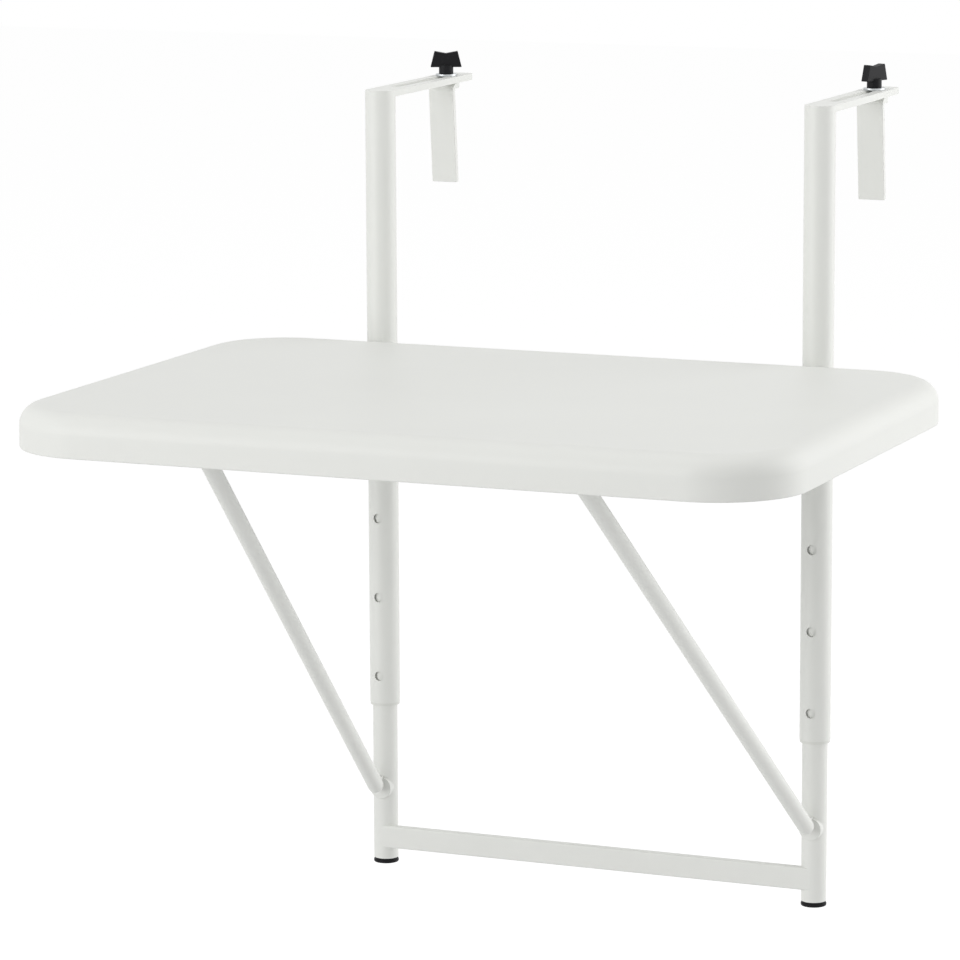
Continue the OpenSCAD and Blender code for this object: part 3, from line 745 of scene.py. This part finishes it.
class AddPosts(bpy.types.Operator):
    """Add the two posts with their height holes and guide bushes"""
    bl_idname = "balcony_table.add_posts"
    bl_label = "Posts"

    def execute(self, context):
        sizes = context.scene.table_tubes
        post = make_tube("post_tube_right", (POST_X, 0, POST_LOW.z), (POST_X, 0, 0), POST_R, sizes.wall,
                         POST_SIDES)
        for i in range(sizes.hole_count):
            z = POST_LOW.z + sizes.hole_end + i * sizes.hole_pitch
            cut(post, add_rod("drill", (POST_X, -POST_R - REACH, z), (POST_X, 0, z),
                              sizes.hole_diameter / 2, HOLE_SIDES))
        # The post meets the arm flush, so its upper edge stays sharp
        break_edges(post, lambda edge: not lies_at(edge, 0), EDGE["post"], segments=2)
        bore_r = LEG_R + RUN_GAP
        bush_r = POST_R - sizes.wall
        rim_r = (BUSH_HIGH.x - BUSH_LOW.x) / 2
        bush = make_tube("post_bush_right", (POST_X, 0, BUSH_LOW.z), (POST_X, 0, BUSH_HIGH.z), bush_r,
                         bush_r - bore_r)
        combine(bush, make_tube("rim", (POST_X, 0, BUSH_LOW.z), (POST_X, 0, POST_LOW.z), rim_r,
                                rim_r - bore_r))
        soften(bush, EDGE["bush"])
        finish_pair(post, context, "posts", "white_paint", "post")
        finish_pair(bush, context, "posts", "white_nylon", "guide_bush")
        return {"FINISHED"}


class AddArms(bpy.types.Operator):
    """Add the two slotted arms, welded on the posts"""
    bl_idname = "balcony_table.add_arms"
    bl_label = "Arms"

    # The weld's block starts at this share of the post's radius, inside what the post cuts off
    weld_start = 0.7

    def slot_tool(self, sizes):
        """A long block with round ends that cuts the slot."""
        half = sizes.slot_width / 2
        tool = add_block("slot", (POST_X - half, sizes.slot_start, -REACH),
                         (POST_X + half, ARM_HIGH.y - sizes.slot_margin, ARM_HIGH.z + REACH))
        bevel_edges(tool, is_upright, width=half - END_GAP, segments=16)
        return tool

    def weld(self, sizes):
        """The fillet of weld in the corner behind the post, a little let into both."""
        radius = sizes.weld_radius
        half = POST_R / 2
        let_in = MM / 2
        weld = add_block("weld", (POST_X - half, POST_R * self.weld_start, -radius),
                         (POST_X + half, POST_R + radius, 2 * let_in))
        cut(weld, add_rod("round", (POST_X - POST_R, POST_R + radius, -radius),
                          (POST_X + POST_R, POST_R + radius, -radius), radius, HOLE_SIDES))
        cut(weld, add_rod("post_face", (POST_X, 0, -2 * radius), (POST_X, 0, 2 * radius),
                          POST_R - let_in, TUBE_SIDES))
        return weld

    def execute(self, context):
        sizes = context.scene.table_hooks
        arm = add_block("slotted_arm_right", (ARM_LOW.x, ARM_LOW.y, 0), ARM_HIGH)
        bevel_edges(arm, lambda edge: is_upright(edge) and edge.verts[0].co.y < 0,
                    width=POST_R - END_GAP, segments=32)
        bevel_edges(arm, lambda edge: is_upright(edge) and edge.verts[0].co.y > ARM_HIGH.y - MM,
                    width=sizes.arm_end_radius, segments=12)
        cut(arm, self.slot_tool(sizes))

        def is_round_the_post(edge):
            return lies_at(edge, 0) and all(vert.co.y < CLOSE for vert in edge.verts)

        # The arm meets the post flush, so its lower edge round the post stays sharp
        break_edges(arm, lambda edge: not is_round_the_post(edge), EDGE["arm"], segments=3)
        combine(arm, self.weld(sizes))
        finish_pair(arm, context, "posts", "white_paint", "arm")
        return {"FINISHED"}


class AddClamps(bpy.types.Operator):
    """Add the two bent clamp plates with their washers"""
    bl_idname = "balcony_table.add_clamps"
    bl_label = "Clamps"

    def plate(self, sizes):
        """A strip spun round the bend and drawn out along the leaning blade, then thickened inwards."""
        outside = sizes.bend_radius + sizes.plate_thickness
        lean = sizes.plate_lean
        bend = Vector((POST_X, CLAMP_Y - CLAMP_REACH + outside, -outside))
        length = (bend.z - outside * math.sin(lean) - PLATE_LOW.z) / math.cos(lean)
        bpy.ops.object.select_all(action="DESELECT")
        bpy.ops.mesh.primitive_plane_add(size=1, location=(POST_X, (bend.y + PLATE_HIGH.y) / 2, 0))
        bpy.context.object.scale = (PLATE_HIGH.x - PLATE_LOW.x, PLATE_HIGH.y - bend.y, 1)
        plate = settle("clamp_blade_right")
        open_edit(plate, "EDGE", lambda edge: all(v.co.y < bend.y + SAME for v in edge.verts))
        bpy.ops.mesh.spin(steps=16, angle=-math.pi / 2 - lean, center=bend, axis=(1, 0, 0))
        extrude((0, length * math.sin(lean), -length * math.cos(lean)))
        close_edit()
        turn_faces_out(plate)
        modify(plate, "SOLIDIFY", thickness=sizes.plate_thickness, offset=1, use_even_offset=True)
        turn_faces_out(plate)
        bevel_edges(plate, lambda edge: is_upright(edge) and edge.verts[0].co.y > PLATE_HIGH.y - CLOSE,
                    width=(PLATE_HIGH.x - PLATE_LOW.x) / 2 - END_GAP, segments=24)
        return plate

    def execute(self, context):
        sizes = context.scene.table_hooks
        plate = self.plate(sizes)
        cut(plate, add_rod("hole", (POST_X, CLAMP_Y, -2 * sizes.plate_thickness),
                           (POST_X, CLAMP_Y, REACH), BOLT_R, HOLE_SIDES))
        soften(plate, EDGE["plate"], segments=3)
        washer_r = (WASHER_HIGH.x - WASHER_LOW.x) / 2
        washer = make_tube("plated_washer_right", (POST_X, CLAMP_Y, WASHER_LOW.z),
                           (POST_X, CLAMP_Y, WASHER_HIGH.z), washer_r, washer_r - BOLT_R)
        soften(washer, EDGE["washer"])
        finish_pair(plate, context, "clamp_right", "white_paint", "clamp_plate", left_body="clamp_left")
        finish_pair(washer, context, "clamp_right", "zinc_steel", "washer", left_body="clamp_left")
        return {"FINISHED"}


class AddKnobs(bpy.types.Operator):
    """Add the two black wing knobs"""
    bl_idname = "balcony_table.add_knobs"
    bl_label = "Knobs"

    # The neck reaches this far up into the wings
    neck_bite = 2 * MM
    # Angle past which the wings' edges are broken, low enough to take in the fold of the dip
    broken_angle = 20

    def knob(self, sizes, name, x, turn):
        """Wings that narrow upwards and dip in the middle, on a round neck with a bolt hole."""
        foot = WASHER_HIGH.z
        wing_z = foot + sizes.neck_height
        knob_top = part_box("knob_right")[1].z
        half = Vector((sizes.wing_width / 2, sizes.wing_thickness / 2, 0))
        wings = add_block(name, (-half.x, -half.y, wing_z), (half.x, half.y, knob_top))
        open_edit(wings, "FACE", faces_up)
        bpy.ops.transform.resize(value=(sizes.tip_width / sizes.wing_width, 1, 1))
        close_edit()
        open_edit(wings, "FACE", everything)
        bpy.ops.mesh.bisect(plane_co=(0, 0, 0), plane_no=(1, 0, 0))
        close_edit()
        open_edit(wings, "VERT",
                  lambda vert: abs(vert.co.x) < CLOSE and vert.co.z > knob_top - CLOSE)
        bpy.ops.transform.translate(value=(0, 0, -sizes.wing_dip))
        close_edit()
        soften(wings, EDGE["knob"], angle=self.broken_angle)
        neck = add_rod("neck", (0, 0, foot), (0, 0, wing_z + self.neck_bite), sizes.neck_diameter / 2)
        soften(neck, EDGE["knob"])
        combine(wings, neck)
        cut(wings, add_rod("bore", (0, 0, foot - REACH), (0, 0, BOLT_HIGH.z + MM / 2),
                           BOLT_R + RUN_GAP, HOLE_SIDES))
        place(wings, (x, CLAMP_Y, 0), (0, 0, turn))
        return wings

    def execute(self, context):
        sizes = context.scene.table_hooks
        turns = {"left": sizes.turn_left, "right": sizes.turn_right}
        for side, sign in SIDES.items():
            knob = self.knob(sizes, "wing_knob_" + side, sign * POST_X, turns[side])
            finish(knob, context, "knob_" + side, "black_plastic", "knob_" + side)
        return {"FINISHED"}


# Lower frame

class AddLowerTubes(bpy.types.Operator):
    """Add the two lower tubes with their foot caps"""
    bl_idname = "balcony_table.add_lower_tubes"
    bl_label = "Lower Tubes"

    # The cap's upper band is this much smaller in radius than the disc under it
    cap_step = 0.5 * MM

    def execute(self, context):
        wall = context.scene.table_tubes.wall
        tube = make_tube("sliding_tube_right", (POST_X, 0, LEG_LOW.z), (POST_X, 0, LEG_HIGH.z), LEG_R,
                         wall)
        soften(tube, EDGE["tube"])
        cap_r = (CAP_HIGH.x - CAP_LOW.x) / 2
        cap = add_rod("plastic_foot_right", (POST_X, 0, CAP_LOW.z), (POST_X, 0, LEG_LOW.z), cap_r,
                      TUBE_SIDES)
        open_edit(cap, "FACE", faces_up)
        bpy.ops.mesh.inset(thickness=cap_r - LEG_R + wall)
        extrude((0, 0, CAP_HIGH.z - LEG_LOW.z))
        close_edit()
        soften(cap, EDGE["cap"], segments=3)
        # The cap is a disc under a slightly smaller band, and the disc's rim is rounded
        rim_z = (CAP_LOW.z + LEG_LOW.z) / 2
        cut(cap, make_tube("band", (POST_X, 0, rim_z), (POST_X, 0, LEG_LOW.z + MM), cap_r + MM,
                           MM + self.cap_step))
        axis = Vector((POST_X, 0))

        def is_on_rim(edge):
            return lies_at(edge, rim_z) and (edge.verts[0].co.xy - axis).length > cap_r - CLOSE

        break_edges(cap, is_on_rim, EDGE["cap_rim"], segments=2)
        finish_pair(tube, context, "lower_frame", "white_paint", "lower_tube")
        finish_pair(cap, context, "lower_frame", "black_plastic", "foot_cap")
        return {"FINISHED"}


class AddCrossbar(bpy.types.Operator):
    """Add the crossbar, its ends coped round the lower tubes"""
    bl_idname = "balcony_table.add_crossbar"
    bl_label = "Crossbar"

    def execute(self, context):
        sizes = context.scene.table_tubes
        bar = add_block("coped_crossbar", (BAR_LOW.x, -LEG_R - sizes.bar_proud, BAR_LOW.z), BAR_HIGH)
        bevel_edges(bar, is_along_x, width=sizes.bar_edge, segments=6)
        for side in SIDES.values():
            x = side * POST_X
            cut(bar, add_rod("cope", (x, 0, BAR_LOW.z - REACH), (x, 0, BAR_HIGH.z + REACH), LEG_R,
                             TUBE_SIDES))
        finish(bar, context, "lower_frame", "white_paint", "crossbar")
        return {"FINISHED"}


class AddBosses(bpy.types.Operator):
    """Add the two round bosses with the lugs that the stay turns on"""
    bl_idname = "balcony_table.add_bosses"
    bl_label = "Stay Bosses"

    def execute(self, context):
        sizes = context.scene.table_tubes
        boss_r = sizes.boss_diameter / 2
        boss_z = BOSS_LOW.z + boss_r
        half = sizes.lug_thickness / 2
        boss = add_rod("lugged_boss_right", (POST_X, -LEG_R - sizes.boss_proud, boss_z),
                       (POST_X, 0, boss_z), boss_r, TUBE_SIDES)
        soften(boss, EDGE["boss"], segments=3)
        lug = add_block("lug", (POST_X - half, PIVOT.y - LUG_R, PIVOT.z - LUG_R),
                        (POST_X + half, 0, PIVOT.z + LUG_R))
        bevel_edges(lug, lambda edge: is_along_x(edge) and all(v.co.y < PIVOT.y for v in edge.verts),
                    width=LUG_R - END_GAP, segments=16)
        soften(lug, EDGE["lug"])
        combine(boss, lug)
        cut(boss, add_rod("tube", (POST_X, 0, BOSS_LOW.z - REACH), (POST_X, 0, BOSS_HIGH.z + REACH),
                          LEG_R, TUBE_SIDES))
        cut(boss, add_rod("pin", (POST_X - STAY_R, PIVOT.y, PIVOT.z),
                          (POST_X + STAY_R, PIVOT.y, PIVOT.z), PIN_R, HOLE_SIDES))
        finish_pair(boss, context, "lower_frame", "white_paint", "stay_boss")
        return {"FINISHED"}


# Stay

class AddStay(bpy.types.Operator):
    """Add the stay: two legs with slotted, ball-shaped ends and the cross tube under the top"""
    bl_idname = "balcony_table.add_stay"
    bl_label = "Stay"

    # Each leg stops this short of the cross tube's axis, well inside what the cope cuts off
    head_gap = 2 * MM
    # Angle past which the leg's edges are broken
    broken_angle = 40
    # How far the tools that cope, slot and bore the leg reach from its axis, past its outside
    cope_half = 6 * STAY_R
    slot_reach = 3 * STAY_R
    bore_half = 2 * STAY_R

    def leg(self, sizes):
        """A ball stretched into a leg, slotted at the back of its foot and coped at its head."""
        foot = Vector((POST_X, PIVOT.y, PIVOT.z))
        head = Vector((POST_X - sizes.stay_lean, CROSS.y, CROSS.z))
        reach = head - foot
        bpy.ops.object.select_all(action="DESELECT")
        bpy.ops.mesh.primitive_uv_sphere_add(segments=64, ring_count=24, radius=STAY_R)
        leg = settle("forked_leg_right")
        open_edit(leg, "VERT", lambda vert: vert.co.z > CLOSE)
        bpy.ops.mesh.delete(type="VERT")
        close_edit()
        open_edit(leg, "EDGE", lambda edge: lies_at(edge, 0))
        extrude((0, 0, reach.length - self.head_gap))
        bpy.ops.mesh.edge_face_add()
        close_edit()
        turn_faces_out(leg)
        place(leg, foot, reach.to_track_quat("Z", "Y").to_euler())
        cut(leg, add_cross_rod("cope", head, self.cope_half, STAY_R, TUBE_SIDES))
        half = sizes.lug_thickness / 2 + sizes.fork_gap
        cut(leg, add_cross_rod("fork", foot, half, LUG_ROOM, ROD_SIDES))
        # The lug's root needs room at the back all the way from open to folded
        for share in (0, 0.5, 1):
            fork = add_block("fork", (-half, 0, -LUG_ROOM), (half, self.slot_reach, LUG_ROOM))
            place(fork, foot, (share * sizes.stay_fold, 0, 0))
            cut(leg, fork)
        cut(leg, add_cross_rod("bore", foot, self.bore_half, PIN_R + RUN_GAP, HOLE_SIDES))
        soften(leg, EDGE["leg"], angle=self.broken_angle)
        return leg

    def execute(self, context):
        sizes = context.scene.table_tubes
        finish_pair(self.leg(sizes), context, "stay", "white_paint", "stay_leg")
        cross = make_tube("cross_rod", (CROSS_LOW.x, CROSS.y, CROSS.z), (CROSS_HIGH.x, CROSS.y, CROSS.z),
                          STAY_R, sizes.wall)
        finish(cross, context, "stay", "white_paint", "stay_cross_tube")
        return {"FINISHED"}


# Fittings that keep the frame's shapes

class AddFittings(bpy.types.Operator):
    """Give the brackets, leaves, rails, pins and screws fine broken edges and their finish"""
    bl_idname = "balcony_table.add_fittings"
    bl_label = "Fittings"

    # Faces that differ by less than this angle are one flat face
    flat_angle = 0.5

    def execute(self, context):
        shown_elsewhere = {node for piece in bpy.data.objects for node in piece.get("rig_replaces", [])}
        slots = {part["node"]: part["material_slot"] for part in frame["record"]["subparts"]}
        for node, original in frame["nodes"].items():
            if node in shown_elsewhere:
                continue
            select_only(original)
            bpy.ops.object.duplicate(linked=False)
            piece = bpy.context.object
            piece.parent = None
            for key in [key for key in piece.keys() if key.startswith("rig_")]:
                del piece[key]
            piece.name = "fine_" + node
            piece.data.name = piece.name
            open_edit(piece, "VERT", everything)
            bpy.ops.mesh.remove_doubles(threshold=SAME / 10)
            bpy.ops.mesh.dissolve_limited(angle_limit=math.radians(self.flat_angle))
            close_edit()
            stored_normals = piece.data.attributes.get("custom_normal")
            if stored_normals:
                piece.data.attributes.remove(stored_normals)
            soften(piece, EDGE["fitting"])
            finish(piece, context, original["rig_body"], slots[node], node)
        return {"FINISHED"}


# Stage

# Where the photograph was taken from: metres, then degrees of azimuth, pitch and roll
CAMERA_PLACE = (1.5193, -3.8949, 0.3963)
CAMERA_ANGLES = (22.762, 10.04, -0.25)
# Millimetres
CAMERA_LENS = 174.22
CAMERA_SENSOR = 36

# What the lights point at, and where each stands and how wide it is
LIT_PLACE = Vector((0, -0.2, -0.35))
RIGHT_LIGHT = ((2.5, 1.3, 0.4), 3.0)
LEFT_LIGHT = ((-3.2, -4.8, 0.9), 4.0)
TOP_LIGHT = ((0.0, -0.5, 2.6), 3.0)

# The floor's glow where it is seen: its share, its strength, and the grey under it
FLOOR_GLOW_SHARE = 0.6
FLOOR_GLOW = 1.37
FLOOR_GREY = (0.78, 0.78, 0.78, 1.0)


def aim_camera(camera):
    """Stands the camera where the photograph was taken from."""
    azimuth, pitch, roll = (math.radians(angle) for angle in CAMERA_ANGLES)
    turn = Matrix.Rotation(azimuth, 3, "Z") @ Matrix.Rotation(math.pi / 2 - pitch, 3, "X")
    camera.rotation_euler = (turn @ Matrix.Rotation(roll, 3, "Z")).to_euler()
    camera.location = CAMERA_PLACE
    camera.data.sensor_width = CAMERA_SENSOR
    camera.data.lens = CAMERA_LENS


def add_soft_light(name, stand, power):
    """A square area light that faces the table."""
    location, width = stand
    bpy.ops.object.select_all(action="DESELECT")
    bpy.ops.object.light_add(type="AREA", location=location)
    light = bpy.context.object
    light.name = name
    light.data.shape = "RECTANGLE"
    light.data.size = light.data.size_y = width
    light.data.energy = power
    light.rotation_euler = (LIT_PLACE - Vector(location)).to_track_quat("-Z", "Y").to_euler()


def seen_directly(tree):
    """1 for rays from the camera, from gloss and through glass; 0 for rays that carry light."""
    path = add_node(tree, "ShaderNodeLightPath")
    first = add_node(tree, "ShaderNodeMath", {"operation": "MAXIMUM"},
                     {0: (path, "Is Camera Ray"), 1: (path, "Is Glossy Ray")})
    return add_node(tree, "ShaderNodeMath", {"operation": "MAXIMUM"},
                    {0: (first, "Value"), 1: (path, "Is Transmission Ray")})


class AddStage(bpy.types.Operator):
    """Add the white floor, the soft studio light and the camera"""
    bl_idname = "balcony_table.add_stage"
    bl_label = "Stage"

    def floor(self, studio):
        """A floor that is white where it is seen and keeps the shadow."""
        bpy.ops.object.select_all(action="DESELECT")
        bpy.ops.mesh.primitive_plane_add(size=studio.floor_size, location=(0, 0, -studio.floor_drop))
        floor = settle("studio_floor")
        material, tree = new_material("white_studio_floor")
        # It glows where it is seen, also in gloss, but sheds no light
        share = add_node(tree, "ShaderNodeMath", {"operation": "MULTIPLY"},
                         {0: (seen_directly(tree), "Value"), 1: FLOOR_GLOW_SHARE})
        glow = add_node(tree, "ShaderNodeEmission", None, {"Color": WHITE, "Strength": FLOOR_GLOW})
        matt = add_node(tree, "ShaderNodeBsdfDiffuse", None, {"Color": FLOOR_GREY})
        both = add_node(tree, "ShaderNodeMixShader", None,
                        {0: (share, "Value"), 1: (matt, "BSDF"), 2: (glow, "Emission")})
        add_node(tree, "ShaderNodeOutputMaterial", None, {"Surface": (both, "Shader")})
        floor.data.materials.append(material)

    def world(self, scene, studio):
        """Even light from all round, white where it is seen."""
        world = bpy.data.worlds.new("white_studio")
        scene.world = world
        world.use_nodes = True
        tree = world.node_tree
        tree.nodes.clear()
        seen = seen_directly(tree)
        strength = add_node(tree, "ShaderNodeMapRange", None,
                            {"Value": (seen, "Value"), "To Min": studio.world_strength, "To Max": 1.0})
        light = add_node(tree, "ShaderNodeBackground", None,
                         {"Color": WHITE, "Strength": (strength, "Result")})
        add_node(tree, "ShaderNodeOutputWorld", None, {"Surface": (light, "Background")})

    def execute(self, context):
        studio = context.scene.table_studio
        self.floor(studio)
        self.world(context.scene, studio)
        add_soft_light("right_light", RIGHT_LIGHT, studio.right_power)
        add_soft_light("left_light", LEFT_LIGHT, studio.left_power)
        add_soft_light("top_light", TOP_LIGHT, studio.top_power)
        bpy.ops.object.camera_add()
        camera = context.object
        aim_camera(camera)
        context.scene.camera = camera
        context.scene.view_settings.view_transform = "Standard"
        return {"FINISHED"}


class TablePanel(bpy.types.Panel):
    """Lists the table's pieces and the stage, each with a button that adds it"""
    bl_idname = "VIEW3D_PT_balcony_table"
    bl_label = "Balcony Table"
    bl_space_type = "VIEW_3D"
    bl_region_type = "UI"
    bl_category = "Balcony Table"

    def draw(self, context):
        for operator in OPERATORS:
            self.layout.operator(operator.bl_idname)


OPERATORS = (AddTop, AddPosts, AddArms, AddClamps, AddKnobs, AddLowerTubes, AddCrossbar, AddBosses,
             AddStay, AddFittings, AddStage)
SETTINGS = {"table_top": TopSizes, "table_tubes": TubeSizes, "table_hooks": HookSizes,
            "table_finishes": Finishes, "table_studio": StudioSizes}


def register():
    for item in (*SETTINGS.values(), *OPERATORS, TablePanel):
        bpy.utils.register_class(item)
    for name, group in SETTINGS.items():
        setattr(bpy.types.Scene, name, PointerProperty(type=group))


def unregister():
    for name in SETTINGS:
        delattr(bpy.types.Scene, name)
    for item in (TablePanel, *reversed(OPERATORS), *SETTINGS.values()):
        bpy.utils.unregister_class(item)


def main():
    """Makes every piece and the stage."""
    register()
    for operator in OPERATORS:
        group, name = operator.bl_idname.split(".")
        getattr(getattr(bpy.ops, group), name)()


if __name__ == "__main__":
    main()
